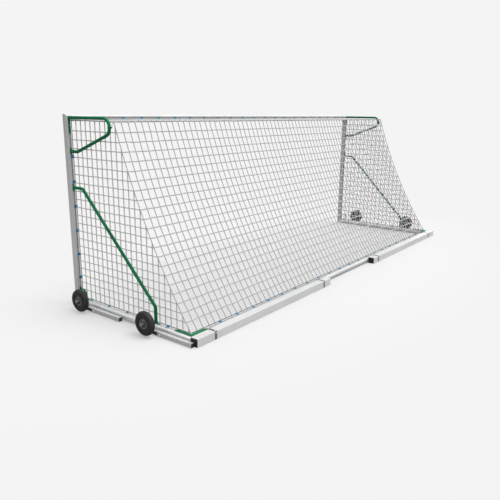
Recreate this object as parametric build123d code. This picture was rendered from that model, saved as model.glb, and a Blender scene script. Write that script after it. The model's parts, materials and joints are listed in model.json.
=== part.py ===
"""Full-size mobile soccer goal: oval aluminium frame, net, ballast boxes and four lever wheels.

X runs across the mouth, Y from the mouth to the rear and Z up, in millimetres. The functions work
with Y = 0 on the posts' centre lines; put() moves each node so that the origin ends up at the
bottom centre of the whole goal. Most pieces are built for the +X side and mirrored for the other.
"""

import os
from math import cos, radians, sin, sqrt

from build123d import *

os.makedirs("parts", exist_ok=True)

# Goal
MOUTH_WIDTH = 7320
MOUTH_HEIGHT = 2440
GROUND_DEPTH = 2125  # from the posts' centre lines to the rear bar's
OVAL_SHORT = 90
OVAL_LONG = 100
WALL = 3

POST_X = MOUTH_WIDTH / 2 + OVAL_SHORT / 2
CROSSBAR_Z = MOUTH_HEIGHT + OVAL_SHORT / 2
GROUND_Z = OVAL_SHORT / 2
FRONT_Y = OVAL_LONG / 2  # how far the posts' groove face stands behind their centre lines

# Groove along every profile, with the flat land that brackets sit on
LAND_WIDTH = 34
LAND_DEPTH = 20
CHANNEL_WIDTH = 26
CHANNEL_DEPTH = 16
CAVITY_WIDTH = 18
CAVITY_DEPTH = 8
SLOT_WIDTH = 9
LIP = 3.5

# Hidden angle inserts that join the mitred corners
INSERT_LEG = 300
INSERT_THICK = 40
INSERT_SHIFT = 8  # away from the groove, to clear its channel
POST_FOOT_THICK = 3
POST_FOOT_HIGH = 25
COPE_OVERLAP = 15  # how far a side bar runs beside the post it is coped to

# Green steel brackets
TUBE_R = 20
TUBE_WALL = 2.5
STRIP_WIDTH = 30
STRIP_THICK = 5
PLATE_HOLE_R = 4.5
NET_BRACKET_TOP_Z = 2487
NET_BRACKET_LOW_Z = 2065
NET_BRACKET_NOSE_Y = 740
NET_BRACKET_NOSE_R = 105
NET_BRACKET_SLOPE = 20.4
NET_BRACKET_LOW_R = 150
NET_STRIP_LENGTH = 200
PAD_HALF = 46
PAD_BOLT = 32  # from a pad's centre to its bolts
BRACE_TOP_Z = 1600
BRACE_TOP_Y = 240
BRACE_REAR_Y = 1540
BRACE_BEND_R = 70
BRACE_FOOT_FRONT = 25
BRACE_FOOT_REAR = 62
BRACE_FOOT_BOLT = 44
KNEE_Y = 175
KNEE_Z = 222
KNEE_BEND_R = 90
KNEE_WIDTH = 26
KNEE_POST_TOP_Z = 250
KNEE_BAR_END_Y = 235
CORNER_LEG = 250
CORNER_WIDTH = 44

# Fasteners
BOLT_R = 4
HEAD_FLATS = 13
HEAD_HIGH = 5.5
WASHER_R = 8.5
WASHER_THICK = 1.6
SLOT_NUT_SIDE = 16

# Net, its rope and its hooks
NET_THICK = 2
NET_INSET = 26  # from a groove's centre line to the rope, towards the inside of the goal
ROPE_R = 4
ROPE_STAND_OFF = 9
ROPE_BEND_R = 40
NET_X = 3680
NET_FRONT_Y = 76
NET_BOTTOM_Z = 116
NET_TOP_FRONT_Z = 2453
NET_TOP_REAR_Z = 2440
NET_TOP_REAR_Y = 905
NET_LOW_REAR_Y = 2085
NET_SAG = 95
RIDGE_CORD_R = 3
HOOK_WIDE = 36
HOOK_RING_R = 8
HOOK_HOLE_R = 5.5
HOOK_MOUTH = 5
HOOK_BASE_THICK = 3
HOOK_FOOT_LONG = 24
POST_HOOKS = [380 + 323 * i for i in range(6)]
SIDE_HOOKS = [262 + 367 * i for i in range(5)]
REAR_HOOKS = [334.5 * (i - 9.5) for i in range(20)]
CROSSBAR_HOOKS = [333.4 * (i - 10.5) for i in range(22)]

# Ballast boxes on the ground behind the rear bar
BOX_HIGH = 105
BOX_DEEP = 110
BOX_WALL = 3
BOX_INNER_X = 773
BOX_OUTER_X = 3770
BOX_CORNER_R = 4
BOX_PLUG_LONG = 30
BALLAST_LONG = 2800
BALLAST_DEEP = 100
BALLAST_HIGH = 50
CLAMP_XS = [963, 3458]
CLAMP_WIDE = 34
CLAMP_THICK = 3
CLAMP_BOLT_Y = GROUND_DEPTH + 40
CLAMP_END = 14  # from the bolt to the strap's end
CLAMP_LIFT = 4
SLEEVE_R = 7
SLEEVE_LOW_Z = 60

# Lever wheels
WHEEL_YS = {"front": 336, "rear": 1584}
WHEEL_X = 3918
WHEEL_R = 150
WHEEL_Z = 166
TYRE_WIDE = 85
TYRE_SEAT_R = 55
TYRE_SEAT_WIDE = 54
RIM_FLANGE_R = 62
RIM_FLANGE_WIDE = 62
RIM_BARREL_R = 50
HUB_R = 25
HUB_WIDE = 96
WEB_THICK = 8
AXLE_R = 10
RUNNING_GAP = 0.05
LEVER_SIDE = 50
LEVER_WALL = 2.5
LEVER_X = 3800
LEVER_Z = 30
LEVER_PIVOT_BACK = 148  # from the axle to the pivot
LEVER_HEEL = 117  # from the pivot forward to the tube's end
LEVER_REACH = 507  # from the pivot back to the handle's end
LEVER_PLUG = 6
LEVER_PLUG_LONG = 30
HEEL_CUT = 30
ARM_THICK = 6
ARM_HALF = 30
ARM_LOW_HALF = 18
ARM_FRONT = 6  # how far the plate's foot runs forward past the axle
ARM_REAR = 95  # and back, along the lever it is welded to
SPACER_R = 16
AXLE_WASHER_R = 18
AXLE_WASHER_THICK = 3
AXLE_NUT_R = 15
AXLE_NUT_THICK = 14
AXLE_END = 24  # from the hub's outer end to the axle's
HUB_GAP = 0.3
PIVOT_R = 6
PIVOT_GAP = 0.4
PIVOT_SPACER_R = 11
PIVOT_WASHER_R = 12
PIVOT_WASHER_THICK = 2.5
PIVOT_HEAD_R = 9.5
PIVOT_HEAD_HIGH = 7.5
ANCHOR_DEPTH = 12  # how far a bolt reaches into the ground bar's side
LENS_R = 9
LENS_HIGH = 5
LENS_Y = 50
LENS_Z = 72

REAR_Y = GROUND_DEPTH + OVAL_LONG / 2 + BOX_DEEP + CLAMP_THICK
CENTRE_Y = (REAR_Y - FRONT_Y) / 2


def put(name, shape):
    """Write one node in the goal's own frame."""
    moved = Pos(0, -CENTRE_Y, 0) * shape
    solids = moved.solids()
    whole = solids[0] if len(solids) == 1 else Compound(children=list(solids))
    export_step(whole, f"parts/{name}.step")


def both(name, shape):
    """Write the +X piece and its mirror image."""
    put(f"right_{name}", shape)
    put(f"left_{name}", mirror(shape, about=Plane.YZ))


def group(pieces):
    return Compound(children=[solid for piece in pieces for solid in piece.solids()])


def box(x0, x1, y0, y1, z0, z1):
    centre = ((x0 + x1) / 2, (y0 + y1) / 2, (z0 + z1) / 2)
    return Pos(*centre) * Box(x1 - x0, y1 - y0, z1 - z0)


def rod(start, end, radius):
    """A solid cylinder between two points."""
    line = Vector(*end) - Vector(*start)
    return Plane(origin=start, z_dir=line) * Cylinder(
        radius, line.length, align=(Align.CENTER, Align.CENTER, Align.MIN)
    )


# Oval profiles


def oval_outline(across, through):
    """The outside of a profile; its groove is on local +Y."""
    land = Pos(0, (through - LAND_DEPTH) / 2) * Rectangle(LAND_WIDTH, LAND_DEPTH)
    return Ellipse(across / 2, through / 2) + land


def oval_hollow(across, through):
    """The space inside a profile, beside its groove's channel."""
    channel = Pos(0, (through - CHANNEL_DEPTH) / 2) * Rectangle(CHANNEL_WIDTH, CHANNEL_DEPTH)
    return Ellipse(across / 2 - WALL, through / 2 - WALL) - channel


def oval_section(across, through):
    slot = Pos(0, (through - LIP) / 2) * Rectangle(SLOT_WIDTH, LIP)
    cavity = Pos(0, through / 2 - LIP - CAVITY_DEPTH / 2) * Rectangle(CAVITY_WIDTH, CAVITY_DEPTH)
    return oval_outline(across, through) - oval_hollow(across, through) - slot - cavity


def insert_section(across, through):
    """A tight-fitting slice of the hollow for a corner insert."""
    slab = Pos(0, -INSERT_SHIFT) * Rectangle(across, INSERT_THICK)
    return oval_hollow(across, through) & slab


POST_PLANE = Plane(origin=(POST_X, 0, 0), x_dir=(1, 0, 0), z_dir=(0, 0, 1))
CROSSBAR_PLANE = Plane(origin=(0, 0, CROSSBAR_Z), x_dir=(0, 0, -1), z_dir=(1, 0, 0))
SIDE_PLANE = Plane(origin=(POST_X, 0, GROUND_Z), x_dir=(-1, 0, 0), z_dir=(0, 1, 0))
REAR_PLANE = Plane(origin=(0, GROUND_DEPTH, GROUND_Z), x_dir=(0, 1, 0), z_dir=(1, 0, 0))
TOP_MITRE = Plane(origin=(POST_X, 0, CROSSBAR_Z), z_dir=(1, 0, -1))
REAR_MITRE = Plane(origin=(POST_X, GROUND_DEPTH, GROUND_Z), z_dir=(1, -1, 0))


def run(plane, section, start, end):
    """Extrude a section along a plane's normal between two distances from its origin."""
    return extrude(plane.offset(start) * section, end - start)


def mitred_bar(plane, section, mitre):
    """A bar across the goal, mitred at both ends."""
    half = split(run(plane, section, 0, POST_X + OVAL_LONG), bisect_by=mitre, keep=Keep.BOTTOM)
    return half + mirror(half, about=Plane.YZ)


def post():
    section = oval_section(OVAL_SHORT, OVAL_LONG)
    bar = run(POST_PLANE, section, POST_FOOT_THICK, CROSSBAR_Z + OVAL_LONG)
    return split(bar, bisect_by=TOP_MITRE, keep=Keep.TOP)


def post_foot():
    """Closes the post's lower end: a plate with a plug up inside it."""
    plate = run(POST_PLANE, oval_outline(OVAL_SHORT, OVAL_LONG), 0, POST_FOOT_THICK)
    plug = run(POST_PLANE, oval_hollow(OVAL_SHORT, OVAL_LONG), POST_FOOT_THICK, POST_FOOT_HIGH)
    return plate + plug


def side_bar():
    """Coped at the front to fit the post, mitred at the rear."""
    section = oval_section(OVAL_LONG, OVAL_SHORT)
    bar = run(SIDE_PLANE, section, FRONT_Y - COPE_OVERLAP, GROUND_DEPTH + OVAL_LONG)
    bar = split(bar, bisect_by=REAR_MITRE, keep=Keep.TOP)
    return bar - run(POST_PLANE, oval_outline(OVAL_SHORT, OVAL_LONG), -10, OVAL_LONG)


def corner_insert(leg_plane, leg_section, leg_range, bar_plane, bar_section, mitre):
    leg = split(run(leg_plane, leg_section, *leg_range), bisect_by=mitre, keep=Keep.TOP)
    bar_range = (POST_X - INSERT_LEG, POST_X + OVAL_LONG)
    bar = split(run(bar_plane, bar_section, *bar_range), bisect_by=mitre, keep=Keep.BOTTOM)
    return leg + bar


def top_corner_insert():
    section = insert_section(OVAL_SHORT, OVAL_LONG)
    leg_range = (CROSSBAR_Z - INSERT_LEG, CROSSBAR_Z + OVAL_LONG)
    return corner_insert(POST_PLANE, section, leg_range, CROSSBAR_PLANE, section, TOP_MITRE)


def rear_corner_insert():
    section = insert_section(OVAL_LONG, OVAL_SHORT)
    leg_range = (GROUND_DEPTH - INSERT_LEG, GROUND_DEPTH + OVAL_LONG)
    return corner_insert(SIDE_PLANE, section, leg_range, REAR_PLANE, section, REAR_MITRE)


# Brackets. Bolt places are (x, y, z) on a plate's outer face, for the +X side.

POST_FACE = FRONT_Y + STRIP_THICK
BAR_FACE = OVAL_SHORT + STRIP_THICK
POST_BOLTS = [
    (POST_X, POST_FACE, z)
    for z in (
        CROSSBAR_Z - 95,
        CROSSBAR_Z - 185,
        NET_BRACKET_LOW_Z - PAD_BOLT,
        NET_BRACKET_LOW_Z + PAD_BOLT,
        BRACE_TOP_Z - PAD_BOLT,
        BRACE_TOP_Z + PAD_BOLT,
        140,
        238,
    )
]
CORNER_BOLTS = (220, 70)  # from the corner, along either bar
SIDE_BOLT_YS = [115, 215, BRACE_REAR_Y + BRACE_FOOT_BOLT]
SIDE_BOLT_YS += [GROUND_DEPTH - back for back in CORNER_BOLTS]
SIDE_BOLTS = [(POST_X, y, BAR_FACE) for y in SIDE_BOLT_YS]
REAR_BOLTS = [(POST_X - back, GROUND_DEPTH, BAR_FACE) for back in CORNER_BOLTS]


def bolt_holes():
    drills = [rod((x, y - 20, z), (x, y + 10, z), PLATE_HOLE_R) for x, y, z in POST_BOLTS]
    drills += [
        rod((x, y, z - 20), (x, y, z + 10), PLATE_HOLE_R) for x, y, z in SIDE_BOLTS + REAR_BOLTS
    ]
    return group(drills)


def bent_tube(points, radii):
    """A round tube swept along a line with rounded corners."""
    path = FilletPolyline(*points, radius=radii)
    start = Plane(origin=path @ 0, z_dir=path % 0)
    return sweep(start * Circle(TUBE_R), path=path) - sweep(
        start * Circle(TUBE_R - TUBE_WALL), path=path
    )


def on_post(z0, z1, width=STRIP_WIDTH):
    half = width / 2
    return box(POST_X - half, POST_X + half, FRONT_Y, POST_FACE, z0, z1)


def on_side_bar(y0, y1, width=STRIP_WIDTH):
    half = width / 2
    return box(POST_X - half, POST_X + half, y0, y1, OVAL_SHORT, BAR_FACE)


def net_bracket(holes):
    """The loop that holds the net's roof out behind the crossbar, welded to its strip and pad."""
    slope = radians(NET_BRACKET_SLOPE)
    nose_z = NET_BRACKET_TOP_Z - NET_BRACKET_NOSE_R
    low_y = NET_BRACKET_NOSE_Y + NET_BRACKET_NOSE_R * sin(slope)
    low_z = nose_z - NET_BRACKET_NOSE_R * cos(slope)
    rise = sin(slope) / cos(slope)
    meet_y = low_y + (NET_BRACKET_TOP_Z - low_z) / rise
    knee_y = low_y - (low_z - NET_BRACKET_LOW_Z) / rise
    points = [
        (POST_X, POST_FACE, NET_BRACKET_TOP_Z),
        (POST_X, meet_y, NET_BRACKET_TOP_Z),
        (POST_X, knee_y, NET_BRACKET_LOW_Z),
        (POST_X, POST_FACE, NET_BRACKET_LOW_Z),
    ]
    tube = bent_tube(points, [NET_BRACKET_NOSE_R, NET_BRACKET_LOW_R])
    top = NET_BRACKET_TOP_Z + TUBE_R
    strip = on_post(top - NET_STRIP_LENGTH - TUBE_R, top)
    pad = on_post(NET_BRACKET_LOW_Z - PAD_HALF, NET_BRACKET_LOW_Z + PAD_HALF)
    return group([tube + (strip - holes) + (pad - holes)])


def lower_brace(holes):
    """Post to ground bar: level, then down at 45 degrees, then upright."""
    drop = BRACE_REAR_Y - BRACE_TOP_Y
    points = [
        (POST_X, POST_FACE, BRACE_TOP_Z),
        (POST_X, BRACE_TOP_Y, BRACE_TOP_Z),
        (POST_X, BRACE_REAR_Y, BRACE_TOP_Z - drop),
        (POST_X, BRACE_REAR_Y, BAR_FACE),
    ]
    tube = bent_tube(points, [BRACE_BEND_R, BRACE_BEND_R])
    pad = on_post(BRACE_TOP_Z - PAD_HALF, BRACE_TOP_Z + PAD_HALF)
    foot = on_side_bar(BRACE_REAR_Y - BRACE_FOOT_FRONT, BRACE_REAR_Y + BRACE_FOOT_REAR)
    return tube + (pad - holes) + (foot - holes)


def base_knee(holes):
    """Angle between post and ground bar, stiffened by a bent strip."""
    path = FilletPolyline(
        (POST_X, POST_FACE, KNEE_Z),
        (POST_X, KNEE_Y, KNEE_Z),
        (POST_X, KNEE_Y, BAR_FACE),
        radius=KNEE_BEND_R,
    )
    start = Plane(origin=path @ 0, x_dir=(1, 0, 0), z_dir=path % 0)
    knee = sweep(start * Rectangle(KNEE_WIDTH, STRIP_THICK), path=path)
    upright = on_post(BAR_FACE, KNEE_POST_TOP_Z)
    flat = on_side_bar(FRONT_Y, KNEE_BAR_END_Y)
    return knee + (upright - holes) + (flat - holes)


def rear_corner_plate(holes):
    """Flat angle over the mitre of the two ground bars."""
    half = CORNER_WIDTH / 2
    inner = POST_X - CORNER_LEG
    along_side = on_side_bar(GROUND_DEPTH - CORNER_LEG, GROUND_DEPTH + half, CORNER_WIDTH)
    along_rear = box(
        inner, POST_X + half, GROUND_DEPTH - half, GROUND_DEPTH + half, OVAL_SHORT, BAR_FACE
    )
    return along_side + along_rear - holes


def slot_bolt():
    """Hex bolt, washer and slot nut, screwed together; local Z leaves the plate's outer face."""
    low = (Align.CENTER, Align.CENTER, Align.MIN)
    head = Pos(0, 0, WASHER_THICK) * extrude(
        RegularPolygon(HEAD_FLATS / 2, 6, major_radius=False), HEAD_HIGH
    )
    washer = Cylinder(WASHER_R, WASHER_THICK, align=low)
    nut_top = -(STRIP_THICK + LIP)
    shank = Pos(0, 0, nut_top) * Cylinder(BOLT_R, WASHER_THICK - nut_top, align=low)
    nut_high = CAVITY_DEPTH - 0.5
    nut = Pos(0, 0, nut_top - nut_high) * Box(SLOT_NUT_SIDE, SLOT_NUT_SIDE, nut_high, align=low)
    return head + washer + shank + nut


def frame_bolts():
    bolt = slot_bolt()
    on_posts = [Plane(origin=at, x_dir=(1, 0, 0), z_dir=(0, 1, 0)) * bolt for at in POST_BOLTS]
    on_bars = [Pos(*at) * bolt for at in SIDE_BOLTS + REAR_BOLTS]
    right = group(on_posts + on_bars)
    return group([right, mirror(right, about=Plane.YZ)])


# Net, rope and hooks


def hook():
    """Plastic net hook: local X into the goal, local Y along the groove, local Z off the bar."""
    long = HOOK_FOOT_LONG / 2
    wide = HOOK_WIDE / 2
    foot = box(-8, 8, -long, long, -LIP - 5, -LIP)
    neck = box(-4, 4, -long, long, -LIP, 0)
    base = box(-10, NET_INSET - ROPE_R, -wide, wide, 0, HOOK_BASE_THICK)
    centre = Plane(origin=(NET_INSET, 0, ROPE_STAND_OFF), z_dir=(0, 1, 0))
    ring = centre * (Cylinder(HOOK_RING_R, HOOK_WIDE) - Cylinder(HOOK_HOLE_R, HOOK_WIDE))
    mouth_z = ROPE_STAND_OFF - HOOK_MOUTH / 2
    mouth_x = NET_INSET + ROPE_R
    mouth = box(mouth_x, mouth_x + HOOK_RING_R, -wide, wide, mouth_z, mouth_z + HOOK_MOUTH)
    return foot + neck + base + (ring - mouth)


def hooks(places, into, along):
    """Hooks at groove points, each with its arm pointing into the goal."""
    one = hook()
    off = Vector(*into).cross(Vector(*along))
    return group([Plane(origin=at, x_dir=into, z_dir=off) * one for at in places])


def crossbar_hooks():
    places = [(x, FRONT_Y, CROSSBAR_Z) for x in CROSSBAR_HOOKS]
    return hooks(places, (0, 0, -1), (-1, 0, 0))


def post_hooks():
    right = hooks([(POST_X, FRONT_Y, z) for z in POST_HOOKS], (-1, 0, 0), (0, 0, 1))
    return group([right, mirror(right, about=Plane.YZ)])


def side_bar_hooks():
    right = hooks([(POST_X, y, OVAL_SHORT) for y in SIDE_HOOKS], (-1, 0, 0), (0, -1, 0))
    return group([right, mirror(right, about=Plane.YZ)])


def rear_bar_hooks():
    return hooks([(x, GROUND_DEPTH, OVAL_SHORT) for x in REAR_HOOKS], (0, -1, 0), (1, 0, 0))


def border_rope():
    """One closed rope through every hook, around the mouth and the ground bars."""
    x = POST_X - NET_INSET
    y_front = FRONT_Y + ROPE_STAND_OFF
    y_rear = GROUND_DEPTH - NET_INSET
    z_top = CROSSBAR_Z - NET_INSET
    z_low = OVAL_SHORT + ROPE_STAND_OFF
    points = [(0, y_front, z_top), (x, y_front, z_top), (x, y_front, z_low)]
    points += [(x, y_rear, z_low), (0, y_rear, z_low)]
    path = FilletPolyline(*points, radius=ROPE_BEND_R)
    start = Plane(origin=path @ 0, z_dir=path % 0)
    half = sweep(start * Circle(ROPE_R), path=path)
    return half + mirror(half, about=Plane.YZ)


def ridge_cord():
    """Cord between the two net brackets that holds the net's rear top edge."""
    at = (NET_TOP_REAR_Y - 2, NET_TOP_REAR_Z + RIDGE_CORD_R + 4)
    return rod((-NET_X, *at), (NET_X, *at), RIDGE_CORD_R)


def slope_arc(inset):
    """The net's rear profile in the YZ plane, sagging inwards, moved inwards by an inset."""
    top = Vector(0, NET_TOP_REAR_Y, NET_TOP_REAR_Z)
    low = Vector(0, NET_LOW_REAR_Y, NET_BOTTOM_Z)
    fall = (low - top).normalized()
    inwards = Vector(0, fall.Z, -fall.Y)
    middle = (top + low) * 0.5 + inwards * NET_SAG
    return ThreePointArc(*[point + inwards * inset for point in (top, middle, low)])


def net_rear():
    outer = slope_arc(0)
    inner = slope_arc(NET_THICK)
    ends = [Line(outer @ 0, inner @ 0), Line(outer @ 1, inner @ 1)]
    face = make_face([outer, inner] + ends)
    wide = NET_X - NET_THICK
    return extrude(Pos(-wide, 0, 0) * face, 2 * wide, dir=(1, 0, 0))


def net_roof():
    rear_y = NET_TOP_REAR_Y - 4
    points = [
        (0, NET_FRONT_Y, NET_TOP_FRONT_Z - NET_THICK),
        (0, NET_FRONT_Y, NET_TOP_FRONT_Z),
        (0, rear_y, NET_TOP_REAR_Z),
        (0, rear_y, NET_TOP_REAR_Z - NET_THICK),
    ]
    face = make_face(Polyline(*points, close=True))
    wide = NET_X - NET_THICK
    return extrude(Pos(-wide, 0, 0) * face, 2 * wide, dir=(1, 0, 0))


def net_side():
    rear = slope_arc(0)
    points = [
        rear @ 1,
        (0, NET_FRONT_Y, NET_BOTTOM_Z),
        (0, NET_FRONT_Y, NET_TOP_FRONT_Z),
        rear @ 0,
    ]
    face = make_face([rear, Polyline(*points)])
    return extrude(Pos(NET_X - NET_THICK / 2, 0, 0) * face, NET_THICK, dir=(1, 0, 0))


def bracket_net_clip():
    """Clip at the nose of the net bracket that the net's top rear corner hangs on."""
    z = NET_BRACKET_TOP_Z - NET_BRACKET_NOSE_R
    nose = NET_BRACKET_NOSE_Y + NET_BRACKET_NOSE_R
    y = nose + TUBE_R
    collar = Pos(POST_X, nose, z) * (Cylinder(TUBE_R + 4, 16) - Cylinder(TUBE_R + 1, 16))
    gap = box(POST_X - 8, POST_X + 8, nose - 30, nose, z - 20, z + 20)
    stub = box(POST_X - 5, POST_X + 5, y + 2, y + 24, z - 8, z + 8)
    return collar - gap + stub


# Ballast


def box_tube():
    outer = RectangleRounded(BOX_DEEP, BOX_HIGH, BOX_CORNER_R)
    inner = RectangleRounded(BOX_DEEP - 2 * BOX_WALL, BOX_HIGH - 2 * BOX_WALL, 1)
    return extrude(box_plane(BOX_INNER_X) * (outer - inner), BOX_OUTER_X - BOX_INNER_X)


def box_plane(x):
    y = GROUND_DEPTH + OVAL_LONG / 2 + BOX_DEEP / 2
    return Plane(origin=(x, y, BOX_HIGH / 2), x_dir=(0, 1, 0), z_dir=(1, 0, 0))


def box_plugs():
    plug = RectangleRounded(BOX_DEEP - 2 * BOX_WALL, BOX_HIGH - 2 * BOX_WALL, 1)
    right = group(
        [
            extrude(box_plane(BOX_INNER_X) * plug, BOX_PLUG_LONG),
            extrude(box_plane(BOX_OUTER_X - BOX_PLUG_LONG) * plug, BOX_PLUG_LONG),
        ]
    )
    return group([right, mirror(right, about=Plane.YZ)])


def ballast_weight():
    """Iron bar lying in the box."""
    middle_x = (BOX_INNER_X + BOX_OUTER_X) / 2
    middle_y = GROUND_DEPTH + OVAL_LONG / 2 + BOX_DEEP / 2
    low = (Align.CENTER, Align.CENTER, Align.MIN)
    bar = Box(BALLAST_LONG, BALLAST_DEEP, BALLAST_HIGH, align=low)
    return Pos(middle_x, middle_y, BOX_WALL) * bar


def clamp(x):
    """Strap from its bolt across the box's top and down the box's rear face."""
    x0 = x - CLAMP_WIDE / 2
    x1 = x + CLAMP_WIDE / 2
    z1 = BOX_HIGH + CLAMP_THICK
    top = box(x0, x1, CLAMP_BOLT_Y - CLAMP_END, REAR_Y, BOX_HIGH, z1)
    down = box(x0, x1, REAR_Y - CLAMP_THICK, REAR_Y, CLAMP_LIFT, BOX_HIGH)
    hole = rod((x, CLAMP_BOLT_Y, BOX_HIGH), (x, CLAMP_BOLT_Y, z1), PLATE_HOLE_R)
    return top + down - hole


def clamp_bolt(x):
    """Hex bolt through the strap, on a sleeve that stands on the ground bar."""
    z = BOX_HIGH + CLAMP_THICK
    low = (Align.CENTER, Align.CENTER, Align.MIN)
    washer = Pos(x, CLAMP_BOLT_Y, z) * Cylinder(WASHER_R, WASHER_THICK, align=low)
    head = Pos(x, CLAMP_BOLT_Y, z + WASHER_THICK) * extrude(
        RegularPolygon(HEAD_FLATS / 2, 6, major_radius=False), HEAD_HIGH
    )
    shank = rod((x, CLAMP_BOLT_Y, SLEEVE_LOW_Z), (x, CLAMP_BOLT_Y, z), BOLT_R)
    sleeve = rod((x, CLAMP_BOLT_Y, SLEEVE_LOW_Z), (x, CLAMP_BOLT_Y, BOX_HIGH), SLEEVE_R)
    bar = run(REAR_PLANE, oval_outline(OVAL_LONG, OVAL_SHORT), x - CLAMP_WIDE, x + CLAMP_WIDE)
    return head + washer + ((shank + sleeve) - bar)


def with_mirror(pieces):
    right = group(pieces)
    return group([right, mirror(right, about=Plane.YZ)])


# Lever wheels, for the +X side, with the axle at y


def pivot_y(y):
    return y + LEVER_PIVOT_BACK


def bar_side_x(z):
    """Outer surface of the side ground bar at height z."""
    drop = (z - GROUND_Z) / GROUND_Z
    return POST_X + OVAL_LONG / 2 * sqrt(1 - drop * drop)


def lever_arm(y):
    """Square handle tube with a sloping heel."""
    half = LEVER_SIDE / 2
    y0 = pivot_y(y) - LEVER_HEEL
    y1 = pivot_y(y) + LEVER_REACH - LEVER_PLUG / 2
    tube = lever_box(half, y0, y1) - lever_box(half - LEVER_WALL, y0, y1)
    heel = Plane(origin=(0, y0 + HEEL_CUT, LEVER_Z - half), z_dir=(0, -1, -1))
    return split(tube, bisect_by=heel, keep=Keep.BOTTOM) - pivot_bore(y)


def lever_box(half, y0, y1):
    return box(LEVER_X - half, LEVER_X + half, y0, y1, LEVER_Z - half, LEVER_Z + half)


def pivot_bore(y):
    centre = (pivot_y(y), LEVER_Z)
    reach = LEVER_SIDE
    return rod((LEVER_X - reach, *centre), (LEVER_X + reach, *centre), PIVOT_R + RUNNING_GAP)


def lever_plug(y):
    """Plug in the handle's end."""
    end = pivot_y(y) + LEVER_REACH
    half = LEVER_SIDE / 2
    cap = lever_box(half, end - LEVER_PLUG / 2, end)
    return cap + lever_box(half - LEVER_WALL, end - LEVER_PLUG_LONG, end - LEVER_PLUG / 2)


def side_plane(x, y, z):
    """Sketch plane facing outwards: local X towards the rear, local Y up."""
    return Plane(origin=(x, y, z), x_dir=(0, 1, 0), z_dir=(1, 0, 0))


def arm_plate(y):
    """Foot along the lever and a neck up to the axle."""
    low = ARM_LOW_HALF
    y0 = y - ARM_FRONT
    y1 = y + ARM_REAR
    foot = Pos((y0 + y1) / 2, LEVER_Z) * Rectangle(y1 - y0, 2 * low)
    ends = Pos(y, WHEEL_Z) * Circle(ARM_HALF) + Pos(y0 + low, LEVER_Z) * Circle(low)
    side = side_plane(LEVER_X + LEVER_SIDE / 2, 0, 0)
    return extrude(side * (foot + make_hull(ends.edges())), ARM_THICK)


def wheel_arm(y):
    """Plate on the lever's outer face with the wheel's axle, spacer, washer and nut."""
    plate_x = LEVER_X + LEVER_SIDE / 2
    hub0 = WHEEL_X - HUB_WIDE / 2 - HUB_GAP
    hub1 = WHEEL_X + HUB_WIDE / 2
    washer_x = hub1 + HUB_GAP
    nut_x = washer_x + AXLE_WASHER_THICK
    centre = (y, WHEEL_Z)
    shaft = rod((plate_x, *centre), (hub1 + AXLE_END, *centre), AXLE_R)
    spacer = rod((plate_x + ARM_THICK, *centre), (hub0, *centre), SPACER_R)
    washer = rod((washer_x, *centre), (nut_x, *centre), AXLE_WASHER_R)
    hexagon = RegularPolygon(AXLE_NUT_R, 6, major_radius=False)
    nut = extrude(side_plane(nut_x, *centre) * hexagon, AXLE_NUT_THICK)
    return arm_plate(y) + shaft + spacer + washer + nut


def lever_pivot(y):
    """Pivot bolt from the side bar through the lever, with its spacer."""
    root_x = bar_side_x(LEVER_Z) - ANCHOR_DEPTH
    inner_x = LEVER_X - LEVER_SIDE / 2 - PIVOT_GAP
    washer_x = LEVER_X + LEVER_SIDE / 2 + PIVOT_GAP
    head_x = washer_x + PIVOT_WASHER_THICK
    centre = (pivot_y(y), LEVER_Z)
    shank = rod((root_x, *centre), (washer_x, *centre), PIVOT_R)
    spacer = rod((root_x, *centre), (inner_x, *centre), PIVOT_SPACER_R)
    washer = rod((washer_x, *centre), (head_x, *centre), PIVOT_WASHER_R)
    hexagon = RegularPolygon(PIVOT_HEAD_R, 6, major_radius=False)
    head = extrude(side_plane(head_x, *centre) * hexagon, PIVOT_HEAD_HIGH)
    bar = run(SIDE_PLANE, oval_outline(OVAL_LONG, OVAL_SHORT), 0, GROUND_DEPTH)
    lens_x = bar_side_x(LENS_Z)
    lens_at = (pivot_y(y) + LENS_Y, LENS_Z)
    lens = rod((lens_x - ANCHOR_DEPTH, *lens_at), (lens_x + LENS_HIGH, *lens_at), LENS_R)
    return group([(shank + spacer - bar) + washer + head, lens - bar])


def wheel_plane(y):
    """Sketch plane through the wheel: local X along the axle, local Y outwards."""
    return Plane(origin=(WHEEL_X, y, WHEEL_Z), x_dir=(1, 0, 0), z_dir=(0, -1, 0))


def turned(y, section):
    return revolve(wheel_plane(y) * section, axis=Axis((WHEEL_X, y, WHEEL_Z), (1, 0, 0)))


def tyre(y):
    """Balloon tyre: wide rounded carcass on a narrow seat."""
    high = WHEEL_R - RIM_FLANGE_R
    carcass = Pos(0, RIM_FLANGE_R + high / 2) * RectangleRounded(TYRE_WIDE, high, 26)
    bead_high = RIM_FLANGE_R - TYRE_SEAT_R + 6
    bead = Pos(0, TYRE_SEAT_R + bead_high / 2) * Rectangle(TYRE_SEAT_WIDE, bead_high)
    return turned(y, carcass + bead)


def rim(y):
    """Hub, web and flanged barrel."""
    bore = AXLE_R + RUNNING_GAP
    hub = Pos(0, (bore + HUB_R) / 2) * Rectangle(HUB_WIDE, HUB_R - bore)
    web = Pos(0, (HUB_R + RIM_BARREL_R) / 2) * Rectangle(WEB_THICK, RIM_BARREL_R - HUB_R + 2)
    barrel = Pos(0, (RIM_BARREL_R + TYRE_SEAT_R) / 2) * Rectangle(
        RIM_FLANGE_WIDE, TYRE_SEAT_R - RIM_BARREL_R
    )
    thick = (RIM_FLANGE_WIDE - TYRE_SEAT_WIDE) / 2
    middle = (RIM_FLANGE_WIDE - thick) / 2
    flange = Rectangle(thick, RIM_FLANGE_R - TYRE_SEAT_R)
    flange_y = (RIM_FLANGE_R + TYRE_SEAT_R) / 2
    section = hub + web + barrel + Pos(-middle, flange_y) * flange + Pos(middle, flange_y) * flange
    return turned(y, section)


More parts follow.
